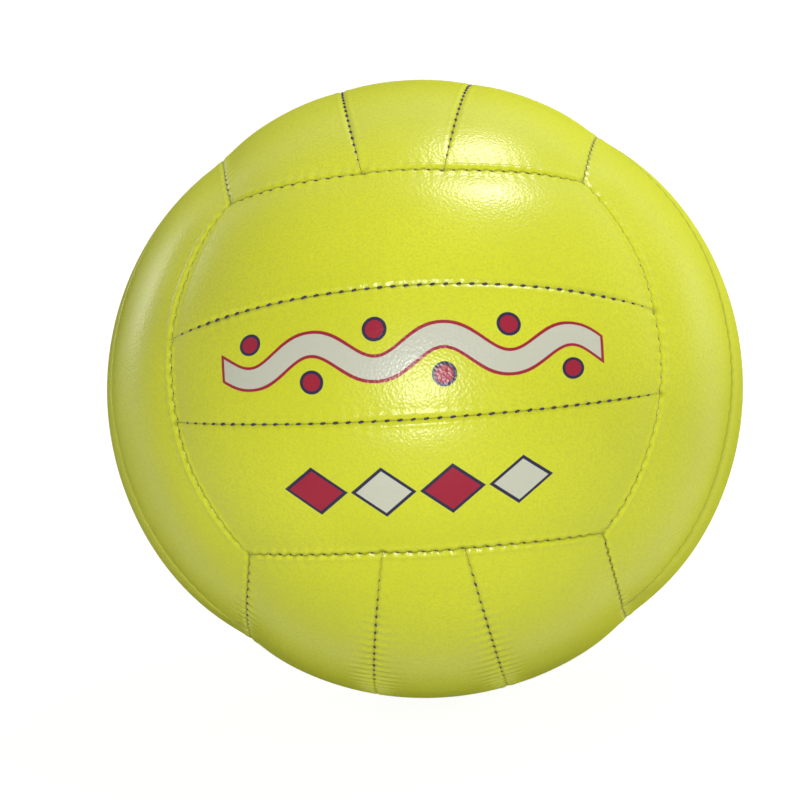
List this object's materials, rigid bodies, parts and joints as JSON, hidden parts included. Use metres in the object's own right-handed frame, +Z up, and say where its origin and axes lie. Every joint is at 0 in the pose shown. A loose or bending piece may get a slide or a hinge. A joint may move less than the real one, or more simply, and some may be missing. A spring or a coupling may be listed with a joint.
{
  "type": "volleyball",
  "caption": "Inflated volleyball with a soft stitched cover of strips on six faces, padding behind the strips, a rubber bladder and a push-in valve for a pump needle.",
  "frame": {"origin": "middle of the ball", "axes": "+Z up as the ball lies, +X to the right seen from the front, -Y to the front; the front face looks 20 degrees up, and the valve is in the middle of the left face, on -X"},
  "size_m": [0.2129, 0.2094, 0.2068],
  "materials": {
    "cover": "soft pebbled synthetic leather in fluorescent yellow-green, satin",
    "padding": "foam with a cloth back",
    "thread": "dark waxed thread",
    "bladder": "smooth rubber",
    "patch": "woven cloth",
    "valve_rubber": "moulded rubber",
    "plug_rubber": "moulded rubber"
  },
  "bodies": {
    "ball": {"panel_front_lower": "cover", "panel_front_middle": "cover", "panel_front_upper": "cover", "panel_back_lower": "cover", "panel_back_middle": "cover", "panel_back_upper": "cover", "panel_top_right": "cover", "panel_top_middle": "cover", "panel_top_left": "cover", "panel_bottom_left": "cover", "panel_bottom_middle": "cover", "panel_bottom_right": "cover", "panel_right_back": "cover", "panel_right_middle": "cover", "panel_right_front": "cover", "panel_left_front": "cover", "panel_left_middle": "cover", "panel_left_back": "cover", "padding_front_lower": "padding", "padding_front_middle": "padding", "padding_front_upper": "padding", "padding_back_lower": "padding", "padding_back_middle": "padding", "padding_back_upper": "padding", "padding_top_right": "padding", "padding_top_middle": "padding", "padding_top_left": "padding", "padding_bottom_left": "padding", "padding_bottom_middle": "padding", "padding_bottom_right": "padding", "padding_right_back": "padding", "padding_right_middle": "padding", "padding_right_front": "padding", "padding_left_front": "padding", "padding_left_middle": "padding", "padding_left_back": "padding", "strip_stitching_front": "thread", "strip_stitching_back": "thread", "strip_stitching_top": "thread", "strip_stitching_bottom": "thread", "strip_stitching_right": "thread", "strip_stitching_left": "thread", "end_stitching_front": "thread", "end_stitching_back": "thread", "end_stitching_top": "thread", "end_stitching_bottom": "thread", "end_stitching_right": "thread", "end_stitching_left": "thread", "bladder": "bladder", "valve_patch": "patch", "valve_housing": "valve_rubber"},
    "plug": {"valve_plug": "plug_rubber"}
  },
  "joints": [
    {"name": "plug_pull", "type": "slide", "parent": "ball", "child": "plug", "axis": [-1, 0, 0], "range_m": [0, 0.025]}
  ]
}
